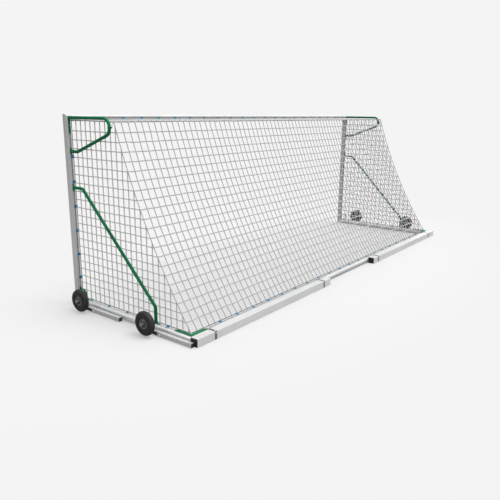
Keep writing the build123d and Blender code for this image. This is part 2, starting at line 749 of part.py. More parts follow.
def build_frame():
    put("crossbar", mitred_bar(CROSSBAR_PLANE, oval_section(OVAL_SHORT, OVAL_LONG), TOP_MITRE))
    put("rear_ground_bar", mitred_bar(REAR_PLANE, oval_section(OVAL_LONG, OVAL_SHORT), REAR_MITRE))
    both("post", post())
    both("post_foot", post_foot())
    both("side_ground_bar", side_bar())
    both("top_corner_insert", top_corner_insert())
    both("rear_corner_insert", rear_corner_insert())


def build_brackets():
    holes = bolt_holes()
    both("net_bracket", net_bracket(holes))
    both("lower_brace", lower_brace(holes))
    both("base_knee", base_knee(holes))
    both("rear_corner_plate", rear_corner_plate(holes))
    put("frame_bolts", frame_bolts())


def build_net():
    put("crossbar_net_hooks", crossbar_hooks())
    put("post_net_hooks", post_hooks())
    put("side_bar_net_hooks", side_bar_hooks())
    put("rear_bar_net_hooks", rear_bar_hooks())
    put("bracket_net_clips", with_mirror([bracket_net_clip()]))
    put("net_border_rope", border_rope())
    put("net_ridge_cord", ridge_cord())
    put("net_roof", net_roof())
    put("net_rear", net_rear())
    both("net_side", net_side())


def build_ballast():
    both("ballast_box", box_tube())
    both("ballast_weight", ballast_weight())
    put("ballast_box_plugs", box_plugs())
    put("ballast_clamps", with_mirror([clamp(x) for x in CLAMP_XS]))
    put("ballast_clamp_bolts", with_mirror([clamp_bolt(x) for x in CLAMP_XS]))


def build_wheels():
    for place, y in WHEEL_YS.items():
        both(f"{place}_lever_arm", lever_arm(y))
        both(f"{place}_lever_plug", lever_plug(y))
        both(f"{place}_wheel_arm", wheel_arm(y))
        both(f"{place}_rim", rim(y))
        both(f"{place}_tyre", tyre(y))
    put("lever_pivot_bolts", with_mirror([lever_pivot(y) for y in WHEEL_YS.values()]))


build_frame()
build_brackets()
build_net()
build_ballast()
build_wheels()
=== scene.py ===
"""Looks of a full-size soccer goal frame, in metres, in the frame of its CAD model.

The bars, brackets, hooks, levers and fasteners are the CAD's own solids with better materials.
The net, its ropes and the tyres are modelled here and stand for their plain CAD solids.
"""

import json
import math
import random

import bpy
import numpy as np
from mathutils import Matrix, Vector


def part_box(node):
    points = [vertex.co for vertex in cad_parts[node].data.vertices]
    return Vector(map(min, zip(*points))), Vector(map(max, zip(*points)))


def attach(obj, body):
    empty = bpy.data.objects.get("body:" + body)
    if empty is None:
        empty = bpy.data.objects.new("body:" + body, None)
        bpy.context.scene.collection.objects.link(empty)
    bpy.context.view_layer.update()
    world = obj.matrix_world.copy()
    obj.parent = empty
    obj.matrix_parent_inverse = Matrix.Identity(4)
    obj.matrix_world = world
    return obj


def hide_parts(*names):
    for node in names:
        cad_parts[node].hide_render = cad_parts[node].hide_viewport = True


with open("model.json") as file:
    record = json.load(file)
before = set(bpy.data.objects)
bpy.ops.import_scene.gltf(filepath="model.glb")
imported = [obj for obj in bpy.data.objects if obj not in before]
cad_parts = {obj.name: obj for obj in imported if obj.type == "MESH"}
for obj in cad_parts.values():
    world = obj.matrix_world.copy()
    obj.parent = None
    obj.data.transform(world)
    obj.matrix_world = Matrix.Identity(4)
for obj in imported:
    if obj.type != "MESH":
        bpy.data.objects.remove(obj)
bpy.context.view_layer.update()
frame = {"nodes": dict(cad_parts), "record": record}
chance = random.Random(11)

# Camera
CAMERA_PLACE = Vector((7.8637, 5.0346, 2.5804))
CAMERA_YAW = 0.9159  # from looking along -Y towards -X
CAMERA_PITCH = 0.2504  # downwards
CAMERA_ROLL = 0.0114
CAMERA_LENS = 38.88

# Studio
BACKDROP = 0.904  # the tone of the picture's background
SKY_LEVEL = 0.02
SKY_TOP = 2.7
SKY_LEAN = (-0.26, 0.18, 0.95)  # the way to the sky's brightest part
SKY_START, SKY_END = -0.25, 0.85  # how far round to that way the sky brightens from and to
KEY_STRENGTH = 3.8
KEY_TURN = (-24, -13, 0)  # degrees
KEY_WIDTH = 38
FLOOR_HALF = 90
FLOOR_TONE = 0.299
FLOOR_SHADE = 0.85  # how much of the floor near the goal takes shadows, and the rest glows
FLOOR_NEAR, FLOOR_FAR = 1.6, 3.2  # where the shadows start to fade, and where they are gone
FLOOR_STRETCH = (0.5, 1, 1)  # those distances are twice as long along the goal

# Net
MESHES_ACROSS = 70
MESHES_DOWN = 22
ROOF_MESHES = 8
SIDE_PITCH = 0.0955
NET_SAG = 0.095  # how far the rear panel hangs inwards
CORD_R = 0.0062
SIDE_R = 0.0070  # the side panels' cords
ROW_R = 0.0076  # the rear and roof panels' rows
KNOT_R = 0.0090
KNOT_HALF = 0.013  # from a knot's middle to where the cord is thin again
KNOT_SHARE = 0.3  # the most of a mesh's side that this may be
PANEL_STRAY = 0.0028 * 0.6  # how far knots stray from an even grid
SIDE_STRAY = 0.0028 * 0.5
REAR_SAG = 0.005  # how far a row hangs between two knots, low on the rear panel
TOP_SAG_SHARE = 0.4  # and how much of that at its top
SIDE_SAG = 0.003  # the same on the roof and the sides
PANEL_TOP_BACK = 0.004  # from the roof's box to the rear panel's top edge
LOOP_R = 0.003
LOOP_SLANT = 0.003
LOOP_STEPS = 10
SIDE_CLEAR = 0.012  # the least gap from a side panel's knot to the slope

# Ropes
ROPE_R = 0.004  # the CAD rope's radius
ROPE_LAID_R = 0.0052  # over the crowns of the laid strands
ROPE_BEND_R = 0.040
ROPE_LAY = 0.048  # the length of one turn of the rope's strands
RIDGE_R = 0.003
RIDGE_LAY = 0.036
ROPE_STEP = 0.005
STRANDS_LAID = 3
LOBE_DEPTH = 0.30  # how deep the grooves between laid strands are, as a share of the radius
LOBE_SHARPNESS = 2.5

# Bracket tubes
TUBE_R = 0.020
TUBE_HEIGHTS = (2.487, 2.065, 1.600)  # where the green tubes meet the posts
PLATE_THICK = 0.005
BRACE_FOOT = 0.062  # from the brace's upright to its foot's end
POST_X = 3.705
WELD_R = 0.0026
WELD_RIPPLE = 0.0005
WELD_RIPPLES = 24
WELD_STEPS = 96

# Ballast clamps
CLAMP_WIDE = 0.034
CLAMP_INNER_X = 0.963
SCREW_FROM_REAR = 0.016
SCREW_FROM_TOP = 0.022

# Ties at the net's upper rear corners
TIE_R = 0.0024
TIE_SPLIT = 0.006  # from the middle to each of the tie's two cords
TIE_BULGE = 0.008
TIE_STEPS = 12
TIE_IN_RIDGE = 0.004  # how far inside the ridge cord's end the tie starts
TIE_IN_POST = 0.001
TIE_IN_CLIP = 0.010
TIE_RISE = 0.006
TIE_WRAPS = (0.08, 0.92)  # where along the tie it is bound
TIE_WRAP_R = 0.009

SIDES = {"right": 1, "left": -1}
PLACES = ("front", "rear")


# ---------------------------------------------------------------- camera, light and floor


def make_camera():
    yaw, pitch, roll = CAMERA_YAW, CAMERA_PITCH, CAMERA_ROLL
    ahead = Vector((-math.sin(yaw), -math.cos(yaw), -math.tan(pitch))).normalized()
    right = ahead.cross(Vector((0, 0, 1))).normalized()
    up = right.cross(ahead)
    across = right * math.cos(roll) + up * math.sin(roll)
    upward = up * math.cos(roll) - right * math.sin(roll)
    data = bpy.data.cameras.new("camera")
    data.lens = CAMERA_LENS
    data.sensor_width = 36
    data.clip_end = 500
    camera = bpy.data.objects.new("camera", data)
    bpy.context.scene.collection.objects.link(camera)
    turn = Matrix((across, upward, -ahead)).transposed().to_4x4()
    camera.matrix_world = Matrix.Translation(CAMERA_PLACE) @ turn
    bpy.context.scene.camera = camera


def add(tree, kind, inputs=(), **settings):
    """A node with its settings, and its inputs by name or number."""
    made = tree.nodes.new("ShaderNode" + kind)
    for key, value in settings.items():
        setattr(made, key, value)
    for key, value in dict(inputs).items():
        if isinstance(value, bpy.types.NodeSocket):
            tree.links.new(value, made.inputs[key])
        else:
            made.inputs[key].default_value = value
    return made


def spread(tree, value, low, high, start=0.35, end=0.65):
    """The value's range from start to end, spread from low to high."""
    settings = {"Value": value, "From Min": start, "From Max": end, "To Min": low, "To Max": high}
    return add(tree, "MapRange", settings).outputs["Result"]


def grey(level):
    return (level, level, level, 1)


def make_world():
    """A plain backdrop for the camera, and a sky that brightens overhead as the light."""
    world = bpy.data.worlds.new("studio")
    bpy.context.scene.world = world
    world.use_nodes = True
    tree = world.node_tree
    tree.nodes.clear()
    way = add(tree, "TexCoord").outputs["Generated"]
    facing = add(tree, "VectorMath", {0: way, 1: SKY_LEAN}, operation="DOT_PRODUCT")
    level = spread(tree, facing.outputs["Value"], SKY_LEVEL, SKY_TOP, SKY_START, SKY_END)
    sky = add(tree, "Background", {"Color": level})
    shown = add(tree, "Background", {"Color": grey(BACKDROP)})
    seen = add(tree, "LightPath").outputs["Is Camera Ray"]
    both = add(tree, "MixShader", {0: seen, 1: sky.outputs[0], 2: shown.outputs[0]})
    add(tree, "OutputWorld", {"Surface": both.outputs[0]})


def make_key_light():
    """A very wide soft sun, high behind the goal."""
    data = bpy.data.lights.new("key", "SUN")
    data.energy = KEY_STRENGTH
    data.angle = math.radians(KEY_WIDTH)
    lamp = bpy.data.objects.new("key", data)
    lamp.rotation_euler = [math.radians(turn) for turn in KEY_TURN]
    bpy.context.scene.collection.objects.link(lamp)


def make_floor():
    """A pale floor: soft shadows near the goal, and one tone with the backdrop away from it."""
    half = FLOOR_HALF
    mesh = bpy.data.meshes.new("floor")
    corners = [(-half, -half, 0), (half, -half, 0), (half, half, 0), (-half, half, 0)]
    mesh.from_pydata(corners, [], [(0, 1, 2, 3)])
    floor = bpy.data.objects.new("floor", mesh)
    bpy.context.scene.collection.objects.link(floor)
    made, tree, paint = shader("floor")
    paint.inputs["Base Color"].default_value = grey(FLOOR_TONE)
    paint.inputs["Roughness"].default_value = 0.9
    paint.inputs["Specular IOR Level"].default_value = 0.1
    glow = add(tree, "Emission", {"Color": grey(BACKDROP)})
    place = add(tree, "TexCoord").outputs["Object"]
    away = add(tree, "VectorMath", {0: place, 1: FLOOR_STRETCH}, operation="MULTIPLY")
    reach = add(tree, "VectorMath", {0: away.outputs[0]}, operation="LENGTH").outputs["Value"]
    share = spread(tree, reach, FLOOR_SHADE, 0, FLOOR_NEAR, FLOOR_FAR)
    both = add(tree, "MixShader", {0: share, 1: glow.outputs[0], 2: paint.outputs[0]})
    tree.links.new(both.outputs[0], tree.nodes["Material Output"].inputs["Surface"])
    mesh.materials.append(made)


# ---------------------------------------------------------------- materials


def shader(name):
    """A new material, its node tree and its Principled shader."""
    made = bpy.data.materials.new(name)
    made.use_nodes = True
    return made, made.node_tree, made.node_tree.nodes["Principled BSDF"]


def noise(tree, scale, detail=3.0, roughness=0.55):
    """Noise in object space, with its own scale along each axis."""
    place = add(tree, "TexCoord").outputs["Object"]
    sized = add(tree, "VectorMath", {0: place, 1: scale}, operation="MULTIPLY").outputs[0]
    settings = {"Vector": sized, "Scale": 1.0, "Detail": detail, "Roughness": roughness}
    return add(tree, "TexNoise", settings).outputs["Fac"]


def mixed(tree, factor, first, second):
    inputs = {0: factor, 6: first, 7: second}
    return add(tree, "Mix", inputs, data_type="RGBA").outputs[2]


def times(tree, first, second):
    return add(tree, "Math", {0: first, 1: second}, operation="MULTIPLY").outputs[0]


def plus(tree, first, second):
    return add(tree, "Math", {0: first, 1: second}, operation="ADD").outputs[0]


def relief(tree, paint, height, distance, strength):
    """Drives the shader's normal from a height."""
    made = add(tree, "Bump", {"Height": height, "Distance": distance, "Strength": strength})
    tree.links.new(made.outputs["Normal"], paint.inputs["Normal"])


def edges(tree, radius):
    """1 along sharp edges and 0 on the flats."""
    rounded = add(tree, "Bevel", {"Radius": radius}, samples=4).outputs["Normal"]
    true = add(tree, "NewGeometry").outputs["Normal"]
    same = add(tree, "VectorMath", {0: rounded, 1: true}, operation="DOT_PRODUCT")
    return spread(tree, same.outputs["Value"], 0, 1, 0.985, 0.85)


def link(tree, paint, **sockets):
    for name, value in sockets.items():
        tree.links.new(value, paint.inputs[name.replace("_", " ")])


def fine_along(axis, along, across):
    """A noise scale that is stretched along one axis."""
    return tuple(along if letter == axis else across for letter in "XYZ")


def aluminium(name, axis, tone, rough, specular=0.5):
    """Anodised extrusion: die lines along it, a faint cloudiness and small rubbed marks."""
    made, tree, metal = shader(name)
    lines = noise(tree, fine_along(axis, 1.5, 700), 4.0)
    cloud = noise(tree, (2.2, 2.2, 2.2), 4.0)
    marks = noise(tree, fine_along(axis, 18, 55), 6.0, 0.7)
    rubbed = spread(tree, marks, 0, 1, 0.58, 0.72)
    body = mixed(tree, spread(tree, cloud, 0, 1), grey(tone * 0.93), (tone, tone, tone * 1.01, 1))
    lined = mixed(tree, spread(tree, lines, 0, 0.12, 0.3, 0.7), body, grey(tone * 0.75))
    colour = mixed(tree, times(tree, rubbed, 0.35), lined, grey(tone * 1.25))
    gloss = plus(tree, spread(tree, lines, rough - 0.06, rough + 0.08), times(tree, rubbed, 0.08))
    metal.inputs["Metallic"].default_value = 0.45
    metal.inputs["Specular IOR Level"].default_value = specular
    metal.inputs["Anisotropic"].default_value = 0.2
    link(tree, metal, Base_Color=colour, Roughness=gloss)
    relief(tree, metal, lines, 0.00006, 0.6)
    return made


def powder_coat(name, colour, worn, rough, coat=0.04):
    """Baked paint: orange peel, slightly uneven depth, rubbed thin along the edges."""
    made, tree, paint = shader(name)
    peel = noise(tree, (420, 420, 420), 2.0)
    depth = noise(tree, (9, 9, 9), 3.0)
    chips = noise(tree, (130, 130, 130), 5.0, 0.7)
    darker = tuple(0.78 * c for c in colour) + (1,)
    lighter = tuple(min(1, 1.12 * c) for c in colour) + (1,)
    body = mixed(tree, spread(tree, depth, 0, 1), darker, lighter)
    bare = times(tree, edges(tree, 0.0012), spread(tree, chips, 0, 1, 0.5, 0.62))
    link(tree, paint, Base_Color=mixed(tree, bare, body, worn + (1,)))
    link(tree, paint, Roughness=spread(tree, depth, rough - 0.05, rough + 0.08))
    paint.inputs["Specular IOR Level"].default_value = 0.07
    paint.inputs["Coat Weight"].default_value = coat
    paint.inputs["Coat Roughness"].default_value = 0.18
    relief(tree, paint, peel, 0.00012, 0.5)
    return made


def zinc(name, colour=(0.74, 0.76, 0.78), rough=0.34):
    """Zinc-plated steel: bright, with a cool spangle and duller patches."""
    made, tree, metal = shader(name)
    spangle = noise(tree, (240, 240, 240), 3.0)
    patches = noise(tree, (60, 60, 60), 4.0)
    dull = tuple(0.62 * c for c in colour) + (1,)
    body = mixed(tree, spread(tree, spangle, 0, 1), dull, colour + (1,))
    metal.inputs["Metallic"].default_value = 0.6
    link(tree, metal, Base_Color=body, Roughness=spread(tree, patches, rough - 0.08, rough + 0.14))
    relief(tree, metal, spangle, 0.00008, 0.4)
    return made


def moulded(name, colour):
    """Injection-moulded plastic: fine spark-eroded grain, edges polished by handling."""
    made, tree, paint = shader(name)
    pits = noise(tree, (900, 900, 900), 2.0)
    flow = noise(tree, (30, 30, 90), 3.0)
    darker = tuple(0.8 * c for c in colour) + (1,)
    rubbed = tuple(min(1, 1.35 * c + 0.01) for c in colour) + (1,)
    body = mixed(tree, spread(tree, flow, 0, 1), darker, colour + (1,))
    edge = edges(tree, 0.0008)
    link(tree, paint, Base_Color=mixed(tree, times(tree, edge, 0.6), body, rubbed))
    link(tree, paint, Roughness=spread(tree, edge, 0.45, 0.45 - 0.15, 0, 1))
    paint.inputs["Specular IOR Level"].default_value = 0.2
    relief(tree, paint, pits, 0.0001, 0.5)
    return made


def cord_stuff(name, colour, twist, turns):
    """Twisted or braided cord: slanting yarns from the strand's own length and girth, with painted
    shade in the grooves between them.
    """
    made, tree, paint = shader(name)
    place = add(tree, "UVMap").outputs["UV"]
    parts = add(tree, "SeparateXYZ", {"Vector": place})
    along = times(tree, parts.outputs["X"], 1 / twist)
    slant = plus(tree, along, times(tree, parts.outputs["Y"], turns))
    wave = add(tree, "Math", {0: times(tree, slant, 2 * math.pi)}, operation="SINE").outputs[0]
    fuzz = noise(tree, (700, 700, 700), 3.0)
    soil = noise(tree, (5, 5, 5), 4.0)
    deep = tuple(0.62 * c for c in colour) + (1,)
    soiled = (colour[0] * 0.86, colour[1] * 0.84, colour[2] * 0.80, 1)
    # Painted shade: the yarn colour darkens towards the grooves, where the relief below is lowest.
    yarn = mixed(tree, spread(tree, wave, 0, 1, -1, 0.4), deep, colour + (1,))
    link(tree, paint, Base_Color=mixed(tree, spread(tree, soil, 0, 0.7, 0.5, 0.7), yarn, soiled))
    paint.inputs["Roughness"].default_value = 0.8
    paint.inputs["Sheen Weight"].default_value = 0.15
    height = plus(tree, wave, times(tree, fuzz, 0.8))
    relief(tree, paint, height, 0.0004, 0.7)
    return made


def rubber(name):
    """Tyre rubber: near black, with dusty patches and bloomed patches."""
    made, tree, paint = shader(name)
    bloom = noise(tree, (28, 28, 28), 5.0)
    grit = noise(tree, (600, 600, 600), 3.0)
    dust = noise(tree, (75, 75, 75), 5.0, 0.7)
    deep, bloomed = (0.0045, 0.0045, 0.0048, 1), (0.011, 0.011, 0.0117, 1)
    body = mixed(tree, spread(tree, bloom, 0, 1), deep, bloomed)
    dusty = times(tree, spread(tree, dust, 0, 1, 0.52, 0.72), 0.14)
    link(tree, paint, Base_Color=mixed(tree, dusty, body, (0.16, 0.15, 0.135, 1)))
    link(tree, paint, Roughness=spread(tree, bloom, 0.52, 0.72))
    paint.inputs["Specular IOR Level"].default_value = 0.2
    relief(tree, paint, grit, 0.00025, 0.6)
    return made


def cast_iron(name):
    """Rough cast iron: sand texture and patches of rust."""
    made, tree, metal = shader(name)
    sand = noise(tree, (260, 260, 260), 5.0, 0.7)
    rust = noise(tree, (20, 20, 20), 5.0, 0.65)
    body = mixed(tree, spread(tree, rust, 0, 1), (0.055, 0.052, 0.05, 1), (0.12, 0.045, 0.018, 1))
    link(tree, metal, Base_Color=body, Roughness=spread(tree, sand, 0.6, 0.85))
    metal.inputs["Metallic"].default_value = 0.4
    relief(tree, metal, sand, 0.0005, 0.8)
    return made


def weld_metal(name, colour):
    """Painted weld bead: its ripples come from the mesh, its gloss from thick paint."""
    return powder_coat(name, colour, (0.2, 0.21, 0.2), rough=0.36, coat=0.08)


GREEN = (0.0012, 0.086, 0.030)


def make_materials():
    """The materials by name. The bars' numbers are their tone, roughness and specular level."""
    # The goal profile is one aluminium in three copies by bar direction: their tones are painted
    # shade and light, darkest on the crossbar and rear ground bar, lightest on the side bars.
    bars = {"X": (0.30, 0.50, 0.1), "Y": (0.48, 0.38, 0.5), "Z": (0.35, 0.38, 0.5)}
    made = {}
    for axis, looks in bars.items():
        made[f"goal_profile_{axis}"] = aluminium(f"goal_profile_{axis}", axis, *looks)
    made["ballast_profile"] = aluminium("ballast_profile", "X", 0.38, 0.40)
    made["lever_tube"] = aluminium("lever_tube", "Y", 0.33, 0.34)
    made["corner_insert"] = aluminium("corner_insert", "Z", 0.5, 0.5)
    made["green_steel"] = powder_coat("green_steel", GREEN, (0.25, 0.27, 0.26), 0.50, 0.02)
    made["weld_bead"] = weld_metal("weld_bead", GREEN)
    clamp, arm, rim = (0.045, 0.045, 0.046), (0.03, 0.03, 0.031), (0.11, 0.111, 0.114)
    made["clamp_steel"] = powder_coat("clamp_steel", clamp, (0.22, 0.22, 0.22), 0.3, 0.6)
    made["wheel_arm"] = powder_coat("wheel_arm", arm, (0.2, 0.2, 0.2), 0.40)
    made["rim"] = powder_coat("rim", rim, (0.24, 0.24, 0.24), 0.35, 0.1)
    made["zinc_bolts"] = zinc("zinc_bolts")
    made["green_zinc"] = zinc("green_zinc", (0.10, 0.30, 0.20), 0.45)
    made["axle_cap"] = zinc("axle_cap", (0.15, 0.154, 0.158), 0.5)
    made["black_plastic"] = moulded("black_plastic", (0.012, 0.012, 0.013))
    made["hook_blue"] = moulded("hook_blue", (0.008, 0.120, 0.215))
    made["net_cord"] = cord_stuff("net_cord", (0.360, 0.360, 0.360), 0.014, 2)
    # The same cord, darker for the rear and roof panels: the darkness is painted shade.
    made["painted_shade_cord"] = cord_stuff("painted_shade_cord", (0.235, 0.235, 0.235), 0.014, 2)
    made["rope_cord"] = cord_stuff("rope_cord", (0.022, 0.023, 0.025), 0.005, 1)
    made["ballast_iron"] = cast_iron("ballast_iron")
    made["tyre"] = rubber("tyre")
    return made


def dress_nodes(materials):
    """Gives every CAD node the procedural material of its slot in the record, except that the goal
    profile's bars get the copy for their direction, with its painted shade and light, and the frame
    bolts get green zinc.
    """
    slots = {part["node"]: part["material_slot"] for part in frame["record"]["subparts"]}
    axes = {"crossbar": "X", "rear_ground_bar": "X"}
    for name, node in frame["nodes"].items():
        wanted = slots[name]
        # Each goal profile bar takes the copy for its direction, toned with painted shade and
        # light.
        if wanted == "goal_profile":
            axis = axes.get(name, "Z" if "post" in name else "Y")
            wanted = f"goal_profile_{axis}"
        if name == "frame_bolts":
            wanted = "green_zinc"
        for place in node.material_slots:
            place.material = materials[wanted]


# ---------------------------------------------------------------- strands


class Strands:
    """Collects round strands into one mesh, with U along each strand and V around it."""

    def __init__(self, around=6):
        self.around = around
        self.points, self.faces, self.marks = [], [], []
        self.count = 0

    def add(self, line, radius, closed=False, lobes=0, lay=1.0):
        """A strand along a line; radius is one number or one for each point.

        A laid rope has lobes, one for each of its strands, which turn once in every lay.
        """
        line = np.asarray(line, float)
        n, k = len(line), self.around
        radius = np.broadcast_to(np.asarray(radius, float), n)
        ahead = np.roll(line, -1, 0) - line if closed else np.gradient(line, axis=0)
        if closed:
            ahead = ahead + np.roll(ahead, 1, 0)
        ahead /= np.linalg.norm(ahead, axis=1)[:, None]
        first, second = carried_normals(ahead)
        run = np.concatenate([[0], np.cumsum(np.linalg.norm(np.diff(line, axis=0), axis=1))])
        turn = 2 * math.pi * np.arange(k) / k
        angle = turn[None, :] + (2 * math.pi * run / lay)[:, None] if lobes else turn[None, :]
        groove = np.abs(np.sin(turn * lobes / 2))[None, :] ** LOBE_SHARPNESS
        size = radius[:, None] * (1 - LOBE_DEPTH * groove)
        on_first = np.cos(angle)[..., None] * first[:, None, :]
        on_second = np.sin(angle)[..., None] * second[:, None, :]
        ring = size[..., None] * (on_first + on_second)
        self.points.append((line[:, None, :] + ring).reshape(-1, 3))
        self._weave(n, run, closed)

    def _weave(self, n, run, closed):
        k = self.around
        i = np.arange(n if closed else n - 1)[:, None]
        j = np.arange(k)[None, :]
        ahead, beside = (i + 1) % n, (j + 1) % k
        corners = [i * k + j, ahead * k + j, ahead * k + beside, i * k + beside]
        self.faces.append(self.count + np.stack(np.broadcast_arrays(*corners), -1).reshape(-1, 4))
        length = np.append(run, run[-1] + (run[1] if closed else 0))
        near, far = length[i] + 0 * j, length[i + 1] + 0 * j
        low, high = j / k + 0 * i, (j + 1) / k + 0 * i
        marks = [near, low, far, low, far, high, near, high]
        self.marks.append(np.stack(marks, -1).reshape(-1, 2))
        self.count += n * k

    def build(self, name, material):
        mesh = bpy.data.meshes.new(name)
        mesh.from_pydata(np.concatenate(self.points), [], np.concatenate(self.faces).tolist())
        layer = mesh.uv_layers.new(name="strand")
        layer.data.foreach_set("uv", np.concatenate(self.marks).ravel())
        return finish_piece(name, mesh, material)


def carried_normals(ahead):
    """Two normals along a line, carried from each point to the next without twisting."""
    first = np.zeros_like(ahead)
    start = np.cross(ahead[0], (0.31, 0.12, 0.94) if abs(ahead[0][2]) < 0.9 else (1, 0, 0))
    first[0] = start / np.linalg.norm(start)
    for i in range(1, len(ahead)):
        kept = first[i - 1] - ahead[i] * np.dot(ahead[i], first[i - 1])
        first[i] = kept / np.linalg.norm(kept)
    return first, np.cross(ahead, first)


def finish_piece(name, mesh, material, body="frame"):
    """Links a smooth-shaded mesh as a piece that rides on a body."""
    mesh.shade_smooth()
    mesh.materials.append(material)
    piece = bpy.data.objects.new(name, mesh)
    bpy.context.scene.collection.objects.link(piece)
    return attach(piece, body)


# ---------------------------------------------------------------- net


SIDE_LOW, SIDE_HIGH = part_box("right_net_side")
ROOF_HIGH, REAR_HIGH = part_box("net_roof")[1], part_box("net_rear")[1]
ROPE_LOW, ROPE_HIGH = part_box("net_border_rope")
RIDGE_LOW, RIDGE_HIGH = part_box("net_ridge_cord")
NET_X = (SIDE_LOW.x + SIDE_HIGH.x) / 2
LOW_REAR = Vector((0, SIDE_HIGH.y, SIDE_LOW.z))
TOP_REAR = Vector((0, ROOF_HIGH.y + PANEL_TOP_BACK, REAR_HIGH.z))
ROPE_X = ROPE_HIGH.x - ROPE_R
ROPE_FRONT, ROPE_REAR = ROPE_LOW.y + ROPE_R, ROPE_HIGH.y - ROPE_R
ROPE_TOP, ROPE_BOTTOM = ROPE_HIGH.z - ROPE_R, ROPE_LOW.z + ROPE_R
RIDGE_Y, RIDGE_Z = (RIDGE_LOW.y + RIDGE_HIGH.y) / 2, (RIDGE_LOW.z + RIDGE_HIGH.z) / 2


def slope(share):
    """A point of the rear panel's profile, from its top edge to its bottom one."""
    straight = TOP_REAR.lerp(LOW_REAR, share)
    fall = (LOW_REAR - TOP_REAR).normalized()
    inwards = Vector((0, fall.z, -fall.y))
    return straight + inwards * (4 * NET_SAG * share * (1 - share))


def slope_share_at(y):
    """Where the rear profile passes a given depth."""
    low, high = 0.0, 1.0
    for _ in range(40):
        middle = (low + high) / 2
        low, high = (middle, high) if slope(middle).y < y else (low, middle)
    return (low + high) / 2


def strayed(grid):
    """Moves the knots inside a grid a little, the same way in each run."""
    rows, columns = grid.shape[:2]
    for i in range(1, rows - 1):
        for j in range(1, columns - 1):
            grid[i, j] += [chance.gauss(0, PANEL_STRAY) for _ in range(3)]
    return grid


def swollen(knots, sag, radius=CORD_R):
    """A cord through its knots: thicker at each, and hanging a little between them."""
    points, sizes = [], []
    for a, b in zip(knots[:-1], knots[1:]):
        length = np.linalg.norm(b - a)
        near = min(KNOT_SHARE, KNOT_HALF / length)
        for share in (0, near, 0.5, 1 - near):
            drop = 4 * sag * share * (1 - share)
            points.append(a + (b - a) * share - np.array((0, 0, drop)))
            sizes.append(KNOT_R if share == 0 else radius)
    points.append(knots[-1])
    sizes.append(KNOT_R)
    return np.array(points), sizes


def weave_panel(name, grid, row_sags, material):
    """A net panel from its grid of knots: cords along the rows and down every column."""
    cords = Strands()
    for row, sag in zip(grid[1:-1], row_sags):
        cords.add(*swollen(row, sag, ROW_R))
    for j in range(grid.shape[1]):
        cords.add(*swollen(grid[:, j], 0))
    piece = cords.build(name, material)
    return piece


def column_x(j):
    return NET_X * (2 * j / MESHES_ACROSS - 1)


def rear_grid():
    """Knots from the ridge cord down the slope to the border rope."""
    grid = np.zeros((MESHES_DOWN + 1, MESHES_ACROSS + 1, 3))
    for i in range(MESHES_DOWN + 1):
        at = slope(i / MESHES_DOWN)
        for j in range(MESHES_ACROSS + 1):
            grid[i, j] = (column_x(j), at.y, at.z)
    grid[0, :, 1:] = (RIDGE_Y, RIDGE_Z)
    grid[-1, :, 1:] = (ROPE_REAR, ROPE_BOTTOM)
    return strayed(grid)


def roof_grid():
    """Knots from the crossbar's rope back to the ridge cord."""
    grid = np.zeros((ROOF_MESHES + 1, MESHES_ACROSS + 1, 3))
    for i in range(ROOF_MESHES + 1):
        y = ROPE_FRONT + (RIDGE_Y - ROPE_FRONT) * i / ROOF_MESHES
        for j in range(MESHES_ACROSS + 1):
            grid[i, j] = (column_x(j), y, roof_height(y))
    return strayed(grid)


def roof_height(y):
    share = (y - ROPE_FRONT) / (RIDGE_Y - ROPE_FRONT)
    return ROPE_TOP + (RIDGE_Z - ROPE_TOP) * share


def side_knots(x):
    """Side knots by row and column: level rows, upright columns, and none past the slope."""
    levels = [slope(i / MESHES_DOWN) for i in range(MESHES_DOWN)]
    columns = int((LOW_REAR.y - ROPE_FRONT) / SIDE_PITCH) + 1
    depths = [ROPE_FRONT + SIDE_PITCH * j for j in range(columns)]
    knots = {}
    for i, level in enumerate(levels[1:], 1):
        for j, y in enumerate(depths):
            if y < level.y - SIDE_CLEAR:
                stray = [chance.gauss(0, SIDE_STRAY) if j else 0 for _ in range(2)]
                knots[i, j] = np.array((x, y + stray[0], level.z + stray[1]))
    return levels, depths, knots


def weave_side(side, sign, material):
    """A side panel between the post's rope, the ground bar's rope, the roof and the rear panel."""
    cords = Strands()
    x = sign * NET_X
    levels, depths, knots = side_knots(x)
    for i, level in enumerate(levels[1:], 1):
        row = [knots[i, j] for j in range(len(depths)) if (i, j) in knots]
        row.append(np.array((x, level.y, level.z)))
        cords.add(*swollen(row, SIDE_SAG, SIDE_R))
    for j, y in enumerate(depths[1:], 1):
        top = roof_height(y) if y < RIDGE_Y else slope(slope_share_at(y)).z
        column = [np.array((x, y, top))]
        column += [knots[i, j] for i in range(1, len(levels)) if (i, j) in knots]
        column.append(np.array((x, y, ROPE_BOTTOM)))
        cords.add(*swollen(column, 0, SIDE_R))
    piece = cords.build(f"{side}_net_side_cords", material)
    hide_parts(f"{side}_net_side")


def loop_round(cords, centre, along, rope_r):
    """A turn of net cord round a rope, pinched and a little slanted."""
    along = Vector(along)
    across = along.orthogonal().normalized()
    beside = along.cross(across)
    reach = rope_r + LOOP_R
    ring = []
    for step in range(LOOP_STEPS):
        turn = 2 * math.pi * step / LOOP_STEPS
        off = across * (reach * math.cos(turn)) + beside * (reach * math.sin(turn))
        ring.append(tuple(Vector(centre) + off + along * (LOOP_SLANT * math.sin(turn))))
    cords.add(ring, LOOP_R, closed=True)


